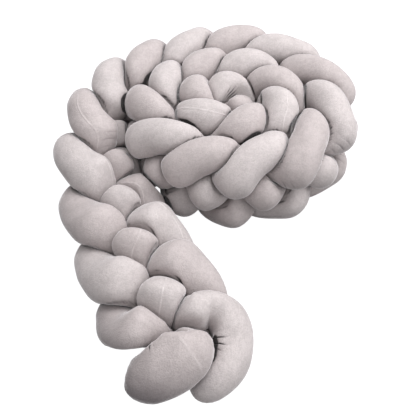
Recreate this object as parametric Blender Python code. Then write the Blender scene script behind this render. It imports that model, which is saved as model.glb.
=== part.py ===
"""Crib bumper: four stuffed velvet tubes in one flat plait, rolled into a coil with its last third lying out.

The plait has a middle line, the spine, that runs from the loose end on the surface to the heart of the coil.
Lengths along it are counted in lobes, the bulges along the plait's upper edge: one strand turns over that
edge at each lobe, and the four strands take turns. Every strand follows one weaving formula about the spine,
and its skin swells until it is round or meets a neighbour, the surface, or its own bend.
"""

import bpy
import numpy as np
from mathutils.bvhtree import BVHTree

# The spine, one row for each lobe of the upper edge, in metres and degrees.
# lean: 90 where the plait lies flat, 0 where it stands on its edge.
# tube: the strand's free radius. spread: how far strands pass over each other, in tube radii.
# reach: from the spine out to a strand's middle at the plait's edge.
# lag: how far strands stay back along the spine at the plait's lower edge.
SPINE_COLUMNS = ("lobe", "x", "y", "lean", "tube", "spread", "reach", "lag")
SPINE = (
    (-0.5, -0.002, -0.450, 90, 0.043, 0.66, 0.070, 0.000),
    (0.5, -0.040, -0.360, 90, 0.043, 0.66, 0.070, 0.000),
    (1.5, -0.077, -0.270, 90, 0.043, 0.66, 0.070, 0.000),
    (2.5, -0.134, -0.166, 85, 0.042, 0.66, 0.064, 0.010),
    (3.5, -0.183, -0.062, 70, 0.040, 0.62, 0.059, 0.016),
    (4.5, -0.214, 0.030, 44, 0.039, 0.58, 0.060, 0.016),
    (5.5, -0.222, 0.126, 26, 0.038, 0.54, 0.065, 0.016),
    (6.5, -0.195, 0.212, 18, 0.038, 0.54, 0.065, 0.016),
    (7.5, -0.137, 0.275, 6, 0.038, 0.52, 0.065, 0.016),
    (8.5, -0.050, 0.330, 0, 0.038, 0.50, 0.064, 0.016),
    (9.5, 0.053, 0.353, 0, 0.038, 0.50, 0.064, 0.016),
    (10.5, 0.158, 0.322, 0, 0.038, 0.50, 0.064, 0.016),
    (11.5, 0.236, 0.242, 0, 0.038, 0.50, 0.064, 0.016),
    (12.5, 0.250, 0.140, 0, 0.038, 0.50, 0.064, 0.016),
    (13.5, 0.197, 0.043, 0, 0.038, 0.50, 0.063, 0.016),
    (14.5, 0.094, -0.002, 0, 0.038, 0.50, 0.062, 0.016),
    (15.5, 0.000, 0.002, 0, 0.038, 0.50, 0.062, 0.016),
    (16.5, -0.077, 0.048, 0, 0.038, 0.50, 0.063, 0.016),
    (17.5, -0.118, 0.124, 0, 0.038, 0.50, 0.064, 0.016),
    (18.5, -0.090, 0.204, 0, 0.038, 0.50, 0.064, 0.016),
    (19.5, -0.014, 0.258, 0, 0.038, 0.50, 0.064, 0.016),
    (20.5, 0.079, 0.262, 0, 0.038, 0.50, 0.064, 0.016),
    (21.5, 0.146, 0.202, 0, 0.038, 0.50, 0.064, 0.016),
    (22.5, 0.146, 0.126, 0, 0.038, 0.50, 0.064, 0.016),
    (23.5, 0.074, 0.078, 0, 0.038, 0.50, 0.064, 0.016),
    (24.5, -0.006, 0.096, 0, 0.038, 0.48, 0.064, 0.016),
    (25.5, -0.024, 0.166, 0, 0.039, 0.42, 0.063, 0.016),
    (26.5, 0.032, 0.187, 0, 0.044, 0.36, 0.056, 0.016),
    (27.5, 0.070, 0.150, 0, 0.043, 0.34, 0.058, 0.016),
    (28.5, 0.030, 0.138, 0, 0.040, 0.30, 0.058, 0.016),
)

# The four strands: the lobes between which each runs, and the shade that its nap shows.
STRAND_COLUMNS = ("name", "first lobe", "last lobe", "shade")
STRANDS = (
    ("strand_a", 1.1, 27.2, "light"),
    ("strand_b", 0.45, 27.4, "dark"),
    ("strand_c", -0.4, 27.6, "light"),
    ("strand_d", -0.3, 28.0, "dark"),
)
SHADES = {"light": (0.60, 0.55, 0.53), "dark": (0.45, 0.40, 0.39)}

# At the loose end three strands leave the weave, to be tucked under or to curl round.
# A row for each point of their way.
TUCK_COLUMNS = ("lobe", "x", "y", "z", "tube")
TUCKS = {
    "strand_b": (
        (0.45, -0.040, -0.374, 0.036, 0.030),
        (0.6, -0.057, -0.357, 0.056, 0.041),
    ),
    "strand_c": (
        (-0.4, -0.036, -0.376, 0.039, 0.038),
        (-0.1, 0.001, -0.370, 0.041, 0.040),
        (0.2, 0.026, -0.346, 0.046, 0.041),
        (0.5, 0.027, -0.312, 0.057, 0.041),
        (0.8, 0.006, -0.287, 0.073, 0.041),
    ),
    "strand_d": (
        (-0.3, -0.126, -0.363, 0.056, 0.047),
        (-0.05, -0.099, -0.373, 0.072, 0.050),
        (0.2, -0.066, -0.368, 0.085, 0.050),
        (0.5, -0.034, -0.344, 0.090, 0.047),
    ),
}
TUCK_JOINS = (0.35, 0.7, 1.05)  # lobes past a tuck's last row at which its curve meets the weave
TUCK_BLEND = 0.5  # lobes over which the strand is back on the weave

# Shares of three waves that carry a strand over and under the others.
# A fourth makes it turn sharply at the edges and run straight between them.
SLOW_WAVE, QUICK_WAVE, QUICKEST_WAVE = 0.107, 1.007, -0.20
EDGE_WAVE = 0.10
NUDGE = 0.001  # lobes either side of a place at which its direction is measured
MIDDLE = (0.00312, -0.00265)  # the middle of the whole thing's box, in the plan of the rows above
SETTLE = 0.004  # how deep the tubes settle into the surface that carries them

SIDES = 12  # faces round a strand
RINGS_PER_LOBE = 6
CAP_RINGS = 4  # rings that round off a closed end
PACE_STEP = 0.2  # lobes over which a strand's length per lobe is measured at an end

LINE_STEP = 0.04  # lobes between the points of a strand's middle line
OWN_STRETCH = 1.15  # lobes either way that count as the same part of a strand
FINE_RINGS, FINE_SIDES = 14, 36  # rings per lobe and rays per ring at which the room for the skin is measured
WIDEST = 0.060  # the furthest that any skin stands from its middle line
RAY_STEPS = np.linspace(0.003, WIDEST, 30)  # places along a ray at which the nearest strand is sought
RINGS_AT_ONCE = 8
LEVEL_RAY = 0.001  # a ray that sinks by less than this share of its length never meets the surface
CONTACT_ROOM = 0.000064  # 2 x 40 mm x 0.8 mm: the power that keeps the skins of two strands 0.8 mm apart
BEND_ROOM = 0.93  # share of the room on the inner side of a bend that the skin may fill
BEND_RINGS = 6  # rings either way whose planes bound that room

LIFT_OFF = 0.012  # length over which the cloth lifts off what presses it
FILL_ROUNDS = 14  # rounds in which a section's free radius is brought to the area of its stuffing
FILL_PACE = 0.4
DRUM_ROUNDS = 12  # times that the skin is evened out in each of those rounds
SLIMMEST, FATTEST = 0.9, 1.4  # limits of a section's free radius, in tube radii

CLEARANCE = 0.0013  # least space between two faceted skins, at the points where it is measured
PROBE_REACH = 0.005  # how far a point on a facet looks for another skin
PROBE_STEPS = 5  # steps of the grid of such points along a side of a facet
TIE = 0.00001  # facets that are as near as this to each other share the nearest point
CLEARING_ROUNDS = 10
DRAW_SHARE = 0.45  # share of a missing space that each of two skins gives up in one round


def smooth_rows(table, where):
    """Values of a table's columns at the given lobes, on a smooth curve through its rows."""
    knots = table[:, 0]
    values = table[:, 1:]
    slopes = np.gradient(values, knots, axis=0)
    row = np.clip(np.searchsorted(knots, where, side="right") - 1, 0, len(knots) - 2)
    span = (knots[row + 1] - knots[row])[:, None]
    u = (where - knots[row])[:, None] / span
    start = (2 * u**3 - 3 * u**2 + 1) * values[row] + (u**3 - 2 * u**2 + u) * span * slopes[row]
    return start + (3 * u**2 - 2 * u**3) * values[row + 1] + (u**3 - u**2) * span * slopes[row + 1]


def spine_at(lobe):
    """Place, forward, edge and face directions of the spine, with its tube radius, rise, reach and lag."""
    table = np.array(SPINE)
    x, y, lean, tube, spread, reach, lag = smooth_rows(table, lobe).T
    ahead = smooth_rows(table, lobe + NUDGE) - smooth_rows(table, lobe - NUDGE)
    forward = np.stack([ahead[:, 0], ahead[:, 1], np.zeros(len(lobe))], axis=1)
    forward /= np.linalg.norm(forward, axis=1)[:, None]
    lean = np.radians(lean)
    up = np.array([0.0, 0.0, 1.0])
    sideways = np.cross(up, forward)
    edge = np.cos(lean)[:, None] * up + np.sin(lean)[:, None] * sideways
    face = np.cross(forward, edge)
    half_width = (reach + tube - SETTLE) * np.cos(lean)
    half_depth = ((spread + 1) * tube - SETTLE) * np.sin(lean)
    place = np.stack([x - MIDDLE[0], y - MIDDLE[1], np.hypot(half_width, half_depth)], axis=1)
    return place, forward, edge, face, tube, spread * tube, reach, lag


def woven_line(strand, lobe):
    """A strand's middle line in a four-strand plait: once from edge to edge and back in four lobes."""
    place, forward, edge, face, _, rise, reach, lag = spine_at(lobe)
    turn = np.pi / 2 * (strand + 0.5 - lobe)
    across = reach * (np.cos(turn) + EDGE_WAVE * np.cos(3 * turn)) / (1 + EDGE_WAVE)
    over = SLOW_WAVE * np.sin(turn) + QUICK_WAVE * np.sin(3 * turn) + QUICKEST_WAVE * np.sin(5 * turn)
    behind = lag * (1 - np.cos(turn)) / 2
    return place + edge * across[:, None] + face * (rise * over)[:, None] - forward * behind[:, None]


def strand_at(strand, lobe):
    """Points of a strand's middle line, with its tube radius: on the weave, or led round to its tuck."""
    woven = np.column_stack([woven_line(strand, lobe), spine_at(lobe)[4]])
    tuck = TUCKS.get(STRANDS[strand][0])
    if tuck is None:
        return woven
    tuck = np.array(tuck) - np.array([0, MIDDLE[0], MIDDLE[1], 0, 0])
    joins = tuck[-1, 0] + np.array(TUCK_JOINS)
    way = np.concatenate([tuck, np.column_stack([joins, woven_line(strand, joins), spine_at(joins)[4]])])
    led = smooth_rows(way, np.clip(lobe, way[0, 0], way[-1, 0]))
    share = np.clip((lobe - tuck[-1, 0]) / TUCK_BLEND, 0, 1)[:, None]
    share = share * share * (3 - 2 * share)
    return woven * share + led * (1 - share)


def ring_lobes(first, last, tube, pace):
    """Where the rings of a strand stand: even along its length, closer where its ends round off."""
    cap = tube / pace
    quarter = np.linspace(0, np.pi / 2, CAP_RINGS, endpoint=False)
    start = first + cap * (1 - np.cos(quarter))
    count = int(round((last - first - 2 * cap) * RINGS_PER_LOBE)) + 1
    body = np.linspace(first + cap, last - cap, count)
    end = last - cap * (1 - np.cos(quarter[::-1]))
    return np.concatenate([start, body, end])


def rings_of(strand, lobe, sides):
    """Ring centres, ring headings, the directions of each ring's rays, and the tube radius."""
    face = spine_at(lobe)[3]
    centre, tube = np.split(strand_at(strand, lobe), [3], axis=1)
    ahead = (strand_at(strand, lobe + NUDGE) - strand_at(strand, lobe - NUDGE))[:, :3]
    heading = ahead - (ahead * face).sum(1)[:, None] * face
    heading /= np.linalg.norm(heading, axis=1)[:, None]
    side = np.cross(face, heading)
    angle = np.arange(sides) * 2 * np.pi / sides
    rays = np.cos(angle)[None, :, None] * side[:, None] + np.sin(angle)[None, :, None] * face[:, None]
    return centre, heading, rays, tube[:, 0]


def power(points, line):
    """Least squared distance to a line's points, less the square of the tube radius there: two tubes press each
    other flat where this is the same for both."""
    place, tube = line[:, :3], line[:, 3]
    return ((points**2).sum(-1)[:, None] + (place**2).sum(-1) - tube**2 - 2 * points @ place.T).min(1)


def first_crossing(lead):
    """Length of each ray at which a row of values first rises above zero, between two steps of the ray."""
    beyond = lead > 0
    first = beyond.argmax(-1)[..., None]
    before = np.maximum(first - 1, 0)
    low = np.take_along_axis(lead, before, -1)
    high = np.take_along_axis(lead, first, -1)
    share = np.clip(-low / np.maximum(high - low, TIE), 0, 1)
    crossing = RAY_STEPS[before] + share * (RAY_STEPS[first] - RAY_STEPS[before])
    return np.where(beyond.any(-1), crossing[..., 0], WIDEST)


def contact_radius(strand, lobe, centre, rays, lines):
    """How far each ray runs before another strand's power is less than that of its own."""
    own_lobes, own_line = lines[strand]
    limit = np.full(rays.shape[:2], WIDEST)
    for start in range(0, len(lobe), RINGS_AT_ONCE):
        rings = slice(start, start + RINGS_AT_ONCE)
        own = (own_lobes > lobe[rings].min() - OWN_STRETCH) & (own_lobes < lobe[rings].max() + OWN_STRETCH)
        others = [line for index, (_, line) in enumerate(lines) if index != strand]
        others = np.concatenate(others + [own_line[~own]])
        middle = np.append(centre[rings].mean(0), 0)
        room = np.linalg.norm(centre[rings] - middle[:3], axis=1).max() + 2 * WIDEST
        others = others[np.linalg.norm((others - middle)[:, :3], axis=1) < room]
        if len(others) == 0:
            continue
        points = centre[rings][:, None, None] + rays[rings][:, :, None] * RAY_STEPS[:, None]
        flat = (points - middle[:3]).reshape(-1, 3)
        lead = power(flat, own_line[own] - middle) - power(flat, others - middle) + CONTACT_ROOM
        limit[rings] = first_crossing(lead.reshape(points.shape[:3]))
    return limit


def floor_radius(centre, rays):
    """How far each ray runs before it meets the surface that carries the plait."""
    down = -rays[..., 2]
    reach = centre[:, None, 2] / np.maximum(down, LEVEL_RAY)
    return np.where(down > LEVEL_RAY, reach, WIDEST)


def bend_radius(centre, heading, rays):
    """How far each ray runs before it meets the plane of a ring nearby, on the inner side of a bend."""
    count = len(centre)
    limit = np.full(rays.shape[:2], WIDEST)
    for step in range(-BEND_RINGS, BEND_RINGS + 1):
        other = np.clip(np.arange(count) + step, 0, count - 1)
        ahead = ((centre[other] - centre) * heading[other]).sum(1)[:, None]
        closing = (rays * heading[other][:, None]).sum(-1)
        meets = ahead * closing > 0
        crossing = np.where(meets, ahead / np.where(meets, closing, 1), WIDEST)
        limit = np.minimum(limit, BEND_ROOM * crossing)
    return limit


def drum(radius, limit, free, around, along):
    """Even out the skin like a drum's: each radius goes to the mean of its neighbours and of the free radius,
    weighted by 1 / spacing^2 and 1 / lift-off^2, but never past its limit."""
    pull_round, pull_along, pull_out = 1 / around**2, 1 / along**2, 1 / LIFT_OFF**2
    for _ in range(DRUM_ROUNDS):
        longer = np.concatenate([radius[:1], radius, radius[-1:]])
        beside = pull_round * (np.roll(radius, 1, axis=1) + np.roll(radius, -1, axis=1))
        behind = pull_along * (longer[:-2] + longer[2:])
        mean = (beside + behind + pull_out * free) / (2 * pull_round + 2 * pull_along + pull_out)
        radius = np.minimum(mean, limit)
    return radius


def stuffed_radius(limit, tube, along):
    """Radii of each ring: round where free, pressed at its limits, and with the stuffing's area kept."""
    free = tube.copy()
    turn = 2 * np.pi / limit.shape[1]
    radius = np.minimum(limit, tube[:, None])
    for _ in range(FILL_ROUNDS):
        radius = drum(radius, limit, free[:, None], turn * tube[:, None], along)
        area = 0.5 * (radius * np.roll(radius, -1, axis=1)).sum(1) * np.sin(turn)
        free = np.clip(free * (np.pi * tube**2 / area) ** FILL_PACE, SLIMMEST * tube, FATTEST * tube)
        free[1:-1] = (free[:-2] + 2 * free[1:-1] + free[2:]) / 4
    return radius


def lengths_along(centre):
    """Distance along a line up to each of its points."""
    return np.concatenate([[0], np.cumsum(np.linalg.norm(np.diff(centre, axis=0), axis=1))])


def settled_radius(strand, lobe, lines):
    """The strand's radii on a fine grid, read off at the given rings and at every third ray."""
    _, first, last, _ = STRANDS[strand]
    fine = np.linspace(first, last, int((last - first) * FINE_RINGS))
    centre, heading, rays, tube = rings_of(strand, fine, FINE_SIDES)
    limit = contact_radius(strand, fine, centre, rays, lines)
    limit = np.minimum(limit, bend_radius(centre, heading, rays))
    limit = np.minimum(limit, floor_radius(centre, rays))
    radius = stuffed_radius(limit, tube, np.gradient(lengths_along(centre))[:, None])
    return smooth_rows(np.column_stack([fine, radius[:, :: FINE_SIDES // SIDES]]), lobe)


def round_ends(radius, centre, tube):
    """Close the skin over both ends as half domes."""
    from_start = lengths_along(centre)
    for along in (from_start, from_start[-1] - from_start):
        share = np.clip(along / tube, 0, 1)
        radius = radius * np.sqrt(1 - (1 - share) ** 2)[:, None]
    return radius


def tube_faces(rings):
    """Triangles of a closed tube: a pole, rings of SIDES points, and a pole."""
    faces = []
    last = 1 + rings * SIDES
    for side in range(SIDES):
        after = (side + 1) % SIDES
        faces.append((0, 1 + after, 1 + side))
        for ring in range(rings - 1):
            a = 1 + ring * SIDES + side
            b = 1 + ring * SIDES + after
            faces.append((a, b, b + SIDES))
            faces.append((a, b + SIDES, a + SIDES))
        faces.append((last, last - SIDES + side, last - SIDES + after))
    return np.array(faces)


class Strand:
    """One stuffed tube: the lines its rings stand on, and the radii that shape its skin."""

    def __init__(self, index, lines):
        _, first, last, _ = STRANDS[index]
        start = strand_at(index, np.array([first, first + PACE_STEP]))
        pace = np.linalg.norm(start[1, :3] - start[0, :3]) / PACE_STEP
        self.lobe = ring_lobes(first, last, start[0, 3], pace)
        self.centre, _, self.rays, tube = rings_of(index, self.lobe, SIDES)
        radius = round_ends(settled_radius(index, self.lobe, lines), self.centre, tube)
        self.radius = np.minimum(radius, floor_radius(self.centre, self.rays))[1:-1]
        self.faces = tube_faces(len(self.lobe) - 2)
        ring_of_point = np.repeat(self.lobe[1:-1], SIDES)
        point_lobe = np.concatenate([self.lobe[:1], ring_of_point, self.lobe[-1:]])
        self.face_lobe = point_lobe[self.faces].mean(1)

    def points(self):
        skin = self.centre[1:-1, None] + self.rays[1:-1] * self.radius[..., None]
        return np.concatenate([self.centre[:1], skin.reshape(-1, 3), self.centre[-1:]])


def probes(points, faces):
    """Points over each triangle, on an even grid from corner to corner."""
    shares = np.arange(PROBE_STEPS + 1) / PROBE_STEPS
    first, second = np.meshgrid(shares, shares, indexing="ij")
    inside = first + second <= 1
    weights = np.column_stack([first[inside], second[inside], 1 - first[inside] - second[inside]])
    return np.einsum("wc,fcx->fwx", weights, points[faces])


def room_to(tree, spot, is_other):
    """Distance from a point to the nearest facet that isn't its own stretch's, negative when inside."""
    room = PROBE_REACH
    facing = 0.0
    for hit, normal, face, distance in tree.find_nearest_range(spot, PROBE_REACH):
        if not is_other[face] or distance > abs(room) + TIE:
            continue
        side = (spot - np.array(hit)) @ np.array(normal)
        if distance < abs(room) - TIE or abs(side) > facing:
            room = distance if side > 0 else -distance
            facing = abs(side)
    return room


def clear_neighbours(strands):
    """Draw the skins in wherever the flat facets of two stretches come closer than the clearance."""
    for _ in range(CLEARING_ROUNDS):
        skins = [strand.points() for strand in strands]
        offsets = np.cumsum([0] + [len(skin) for skin in skins])
        owner = np.concatenate([[index] * len(strand.faces) for index, strand in enumerate(strands)])
        lobes = np.concatenate([strand.face_lobe for strand in strands])
        every_face = np.concatenate([strand.faces + offsets[i] for i, strand in enumerate(strands)])
        tree = BVHTree.FromPolygons(np.concatenate(skins).tolist(), every_face.tolist())
        touched = 0
        for index, strand in enumerate(strands):
            draw_in = np.zeros(len(skins[index]))
            for face, spots in enumerate(probes(skins[index], strand.faces)):
                apart = np.abs(lobes - strand.face_lobe[face]) > OWN_STRETCH
                is_other = (owner != index) | apart
                shortage = max(CLEARANCE - room_to(tree, spot, is_other) for spot in spots)
                if shortage > 0:
                    touched += 1
                    corners = strand.faces[face]
                    draw_in[corners] = np.maximum(draw_in[corners], DRAW_SHARE * shortage)
            strand.radius = strand.radius - draw_in[1:-1].reshape(strand.radius.shape)
        print("faces drawn in:", touched)
        if touched == 0:
            break


def velvet(shade):
    material = bpy.data.materials.new("velvet_" + shade)
    material.use_nodes = True
    shader = material.node_tree.nodes["Principled BSDF"]
    shader.inputs["Base Color"].default_value = (*SHADES[shade], 1)
    shader.inputs["Roughness"].default_value = 0.9
    shader.inputs["Metallic"].default_value = 0
    return material


def add_strand(collection, name, strand, material):
    mesh = bpy.data.meshes.new(name)
    mesh.from_pydata(strand.points().tolist(), [], strand.faces.tolist())
    mesh.materials.append(material)
    mesh.shade_smooth()
    strand_object = bpy.data.objects.new(name, mesh)
    collection.objects.link(strand_object)


def main():
    for old in list(bpy.data.objects):
        bpy.data.objects.remove(old, do_unlink=True)
    collection = bpy.data.collections.new("crib_bumper")
    bpy.context.scene.collection.children.link(collection)
    lines = []
    for index, (_, first, last, _) in enumerate(STRANDS):
        lobes = np.arange(first, last, LINE_STEP)
        lines.append((lobes, strand_at(index, lobes)))
    strands = [Strand(index, lines) for index in range(len(STRANDS))]
    clear_neighbours(strands)
    materials = {shade: velvet(shade) for shade in SHADES}
    for (name, _, _, shade), strand in zip(STRANDS, strands):
        add_strand(collection, name, strand, materials[shade])


main()
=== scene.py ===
# %% [markdown]
# # A plaited crib bumper in velvet
# The real thing is four long velvet tubes, stuffed with fibre, plaited into one flat band. The band stands
# on its edge in a coil, leans over as it leaves the coil, and ends lying flat. This lesson dresses the four
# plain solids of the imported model: each gets a finer skin that is pressed where it meets its neighbours,
# sewn seams, gathers, and a velvet pile.

import bpy
import numpy as np
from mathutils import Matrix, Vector


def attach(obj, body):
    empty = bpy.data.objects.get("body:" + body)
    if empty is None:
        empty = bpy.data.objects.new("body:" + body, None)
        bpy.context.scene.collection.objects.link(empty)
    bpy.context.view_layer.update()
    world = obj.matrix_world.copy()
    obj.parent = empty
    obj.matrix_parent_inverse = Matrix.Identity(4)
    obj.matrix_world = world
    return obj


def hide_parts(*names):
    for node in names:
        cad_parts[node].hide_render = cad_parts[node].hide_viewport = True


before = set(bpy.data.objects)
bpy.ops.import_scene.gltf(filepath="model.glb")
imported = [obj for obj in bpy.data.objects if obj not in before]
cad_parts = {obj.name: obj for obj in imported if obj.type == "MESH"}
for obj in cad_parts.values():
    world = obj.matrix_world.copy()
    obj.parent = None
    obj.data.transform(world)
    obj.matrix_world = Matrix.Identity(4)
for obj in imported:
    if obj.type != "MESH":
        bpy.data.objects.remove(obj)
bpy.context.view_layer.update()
print("packed nodes:", sorted(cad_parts))

# %% [markdown]
# ## Where the plait lies
# A plait has a middle line, here called the spine. It could be drawn as a curve by hand, but a table says
# more: one row for each bulge ("lobe") of the plait's upper edge, with its place on the surface, how far
# the band leans over, and how thick and how spread its tubes are. Everything else is worked out from these
# rows.
#
# The columns are lobe; x and y in metres; lean in degrees, 90 where the band lies flat and 0 where it
# stands on its edge; tube, a strand's free radius; spread, how far strands pass over each other, in tube
# radii; reach, from the spine out to a strand at the band's edge; and lag, how far strands stay back at the
# lower edge.

# %% The spine's table
SPINE = np.array((
    (-0.5, -0.002, -0.450, 90, 0.043, 0.66, 0.070, 0.000),
    (0.5, -0.040, -0.360, 90, 0.043, 0.66, 0.070, 0.000),
    (1.5, -0.077, -0.270, 90, 0.043, 0.66, 0.070, 0.000),
    (2.5, -0.134, -0.166, 85, 0.042, 0.66, 0.064, 0.010),
    (3.5, -0.183, -0.062, 70, 0.040, 0.62, 0.059, 0.016),
    (4.5, -0.214, 0.030, 44, 0.039, 0.58, 0.060, 0.016),
    (5.5, -0.222, 0.126, 26, 0.038, 0.54, 0.065, 0.016),
    (6.5, -0.195, 0.212, 18, 0.038, 0.54, 0.065, 0.016),
    (7.5, -0.137, 0.275, 6, 0.038, 0.52, 0.065, 0.016),
    (8.5, -0.050, 0.330, 0, 0.038, 0.50, 0.064, 0.016),
    (9.5, 0.053, 0.353, 0, 0.038, 0.50, 0.064, 0.016),
    (10.5, 0.158, 0.322, 0, 0.038, 0.50, 0.064, 0.016),
    (11.5, 0.236, 0.242, 0, 0.038, 0.50, 0.064, 0.016),
    (12.5, 0.250, 0.140, 0, 0.038, 0.50, 0.064, 0.016),
    (13.5, 0.197, 0.043, 0, 0.038, 0.50, 0.063, 0.016),
    (14.5, 0.094, -0.002, 0, 0.038, 0.50, 0.062, 0.016),
    (15.5, 0.000, 0.002, 0, 0.038, 0.50, 0.062, 0.016),
    (16.5, -0.077, 0.048, 0, 0.038, 0.50, 0.063, 0.016),
    (17.5, -0.118, 0.124, 0, 0.038, 0.50, 0.064, 0.016),
    (18.5, -0.090, 0.204, 0, 0.038, 0.50, 0.064, 0.016),
    (19.5, -0.014, 0.258, 0, 0.038, 0.50, 0.064, 0.016),
    (20.5, 0.079, 0.262, 0, 0.038, 0.50, 0.064, 0.016),
    (21.5, 0.146, 0.202, 0, 0.038, 0.50, 0.064, 0.016),
    (22.5, 0.146, 0.126, 0, 0.038, 0.50, 0.064, 0.016),
    (23.5, 0.074, 0.078, 0, 0.038, 0.50, 0.064, 0.016),
    (24.5, -0.006, 0.096, 0, 0.038, 0.48, 0.064, 0.016),
    (25.5, -0.024, 0.166, 0, 0.039, 0.42, 0.063, 0.016),
    (26.5, 0.032, 0.187, 0, 0.044, 0.36, 0.056, 0.016),
    (27.5, 0.070, 0.150, 0, 0.043, 0.34, 0.058, 0.016),
    (28.5, 0.030, 0.138, 0, 0.040, 0.30, 0.058, 0.016),
))
MIDDLE = np.array((0.00312, -0.00265))  # the middle of the whole thing's box, in the plan of the rows above
NUDGE = 0.001  # lobes either side of a place at which its direction is measured
SETTLE = 0.004  # how deep the tubes settle into the surface that carries them
print("spine rows:", len(SPINE))

# %% [markdown]
# ## A smooth curve through table rows
# A curve through the rows must not overshoot, or the tubes would wobble. A cubic between neighbouring rows,
# with its slope at each row taken from the rows on both sides, is smooth and stays close to them.

# %% Smooth rows
def smooth_rows(knots, values, where):
    """Cubic Hermite curve: at share u between two rows, (2u^3-3u^2+1) of the first, (3u^2-2u^3) of the
    second, and the two slopes weighted by (u^3-2u^2+u) and (u^3-u^2)."""
    slopes = np.gradient(values, knots, axis=0)
    row = np.clip(np.searchsorted(knots, where, side="right") - 1, 0, len(knots) - 2)
    span = (knots[row + 1] - knots[row])[:, None]
    u = (where - knots[row])[:, None] / span
    start = (2 * u**3 - 3 * u**2 + 1) * values[row] + (u**3 - 2 * u**2 + u) * span * slopes[row]
    return start + (3 * u**2 - 2 * u**3) * values[row + 1] + (u**3 - u**2) * span * slopes[row + 1]


def unit(vectors):
    """Each vector divided by its length."""
    return vectors / np.linalg.norm(vectors, axis=-1, keepdims=True)


def spine_at(lobe):
    """Place, edge and face directions, tube radius, rise, reach and lag. edge = cos(lean) up + sin(lean)
    sideways, face = forward x edge, and the place is as high as the band's leaning half width and half depth
    need."""
    x, y, lean, tube, spread, reach, lag = smooth_rows(SPINE[:, 0], SPINE[:, 1:], lobe).T
    after = smooth_rows(SPINE[:, 0], SPINE[:, 1:3], lobe + NUDGE)
    before = smooth_rows(SPINE[:, 0], SPINE[:, 1:3], lobe - NUDGE)
    forward = unit(np.column_stack([after - before, np.zeros(len(lobe))]))
    lean = np.radians(lean)[:, None]
    up = np.array([0.0, 0.0, 1.0])
    edge = np.cos(lean) * up + np.sin(lean) * np.cross(up, forward)
    half_width = (reach + tube - SETTLE) * np.cos(lean[:, 0])
    half_depth = ((spread + 1) * tube - SETTLE) * np.sin(lean[:, 0])
    place = np.column_stack([x - MIDDLE[0], y - MIDDLE[1], np.hypot(half_width, half_depth)])
    return place, edge, np.cross(forward, edge), tube, spread * tube, reach, lag


print("spine height at the coil:", round(float(spine_at(np.array([15.0]))[0][0, 2]), 3))

# %% [markdown]
# ## The four tubes' own lines
# In a flat plait of four, each tube swings from edge to edge and passes over, under, over. Two cosines give
# the swing, and three sines give the over and under. At the loose end three tubes leave the weave, to curl
# round or to be tucked under, so a few rows lead each of them there. Their columns are lobe, x, y, height
# and tube.

# %% The strands and their weave
STRANDS = (  # name, first and last lobe, finish
    ("strand_a", 1.1, 27.2, "velvet_light"),
    ("strand_b", 0.45, 27.4, "velvet_dark"),
    ("strand_c", -0.4, 27.6, "velvet_light"),
    ("strand_d", -0.3, 28.0, "velvet_dark"),
)
TUCKS = {
    "strand_b": np.array((
        (0.45, -0.040, -0.374, 0.036, 0.030),
        (0.6, -0.057, -0.357, 0.056, 0.041),
    )),
    "strand_c": np.array((
        (-0.4, -0.036, -0.376, 0.039, 0.038),
        (-0.1, 0.001, -0.370, 0.041, 0.040),
        (0.2, 0.026, -0.346, 0.046, 0.041),
        (0.5, 0.027, -0.312, 0.057, 0.041),
        (0.8, 0.006, -0.287, 0.073, 0.041),
    )),
    "strand_d": np.array((
        (-0.3, -0.126, -0.363, 0.056, 0.047),
        (-0.05, -0.099, -0.373, 0.072, 0.050),
        (0.2, -0.066, -0.368, 0.085, 0.050),
        (0.5, -0.034, -0.344, 0.090, 0.047),
    )),
}
TUCK_JOINS = np.array((0.35, 0.7, 1.05))  # lobes past a tuck's last row at which its curve meets the weave
TUCK_BLEND = 0.5  # lobes over which the strand is back on the weave

# Shares of three waves that carry a strand over and under the others, and of a fourth that makes it turn
# sharply at the edges and run straight between them.
SLOW_WAVE, QUICK_WAVE, QUICKEST_WAVE = 0.107, 1.007, -0.20
EDGE_WAVE = 0.10


def woven_line(strand, lobe):
    """With turn a quarter turn for each lobe: reach (cos(turn) + 0.10 cos(3 turn)) / 1.10 along the edge,
    rise (0.107 sin(turn) + 1.007 sin(3 turn) - 0.20 sin(5 turn)) along the face, and lag (1 - cos(turn)) / 2
    behind the spine's own place."""
    place, edge, face, _, rise, reach, lag = spine_at(lobe)
    turn = np.pi / 2 * (strand + 0.5 - lobe)
    across = reach * (np.cos(turn) + EDGE_WAVE * np.cos(3 * turn)) / (1 + EDGE_WAVE)
    waves = SLOW_WAVE * np.sin(turn) + QUICK_WAVE * np.sin(3 * turn) + QUICKEST_WAVE * np.sin(5 * turn)
    over = rise * waves
    behind = lag * (1 - np.cos(turn)) / 2
    return place + edge * across[:, None] + face * over[:, None] - np.cross(edge, face) * behind[:, None]


def strand_at(strand, lobe):
    """Each point of the strand's middle line and its tube radius: the woven line, blended near the loose end
    into the curve through the tuck's rows."""
    woven = np.column_stack([woven_line(strand, lobe), spine_at(lobe)[3]])
    tuck = TUCKS.get(STRANDS[strand][0])
    if tuck is None:
        return woven
    rows = tuck[:, 1:] - np.array([*MIDDLE, 0, 0])
    join_lobes = tuck[-1, 0] + TUCK_JOINS
    joins = np.column_stack([woven_line(strand, join_lobes), spine_at(join_lobes)[3]])
    knots = np.concatenate([tuck[:, 0], join_lobes])
    led = smooth_rows(knots, np.concatenate([rows, joins]), np.clip(lobe, knots[0], knots[-1]))
    share = np.clip((lobe - tuck[-1, 0]) / TUCK_BLEND, 0, 1)[:, None]
    share = share * share * (3 - 2 * share)
    return woven * share + led * (1 - share)


def middle_line(strand, lobe):
    """The points of strand_at alone."""
    return strand_at(strand, lobe)[:, :3]


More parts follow.
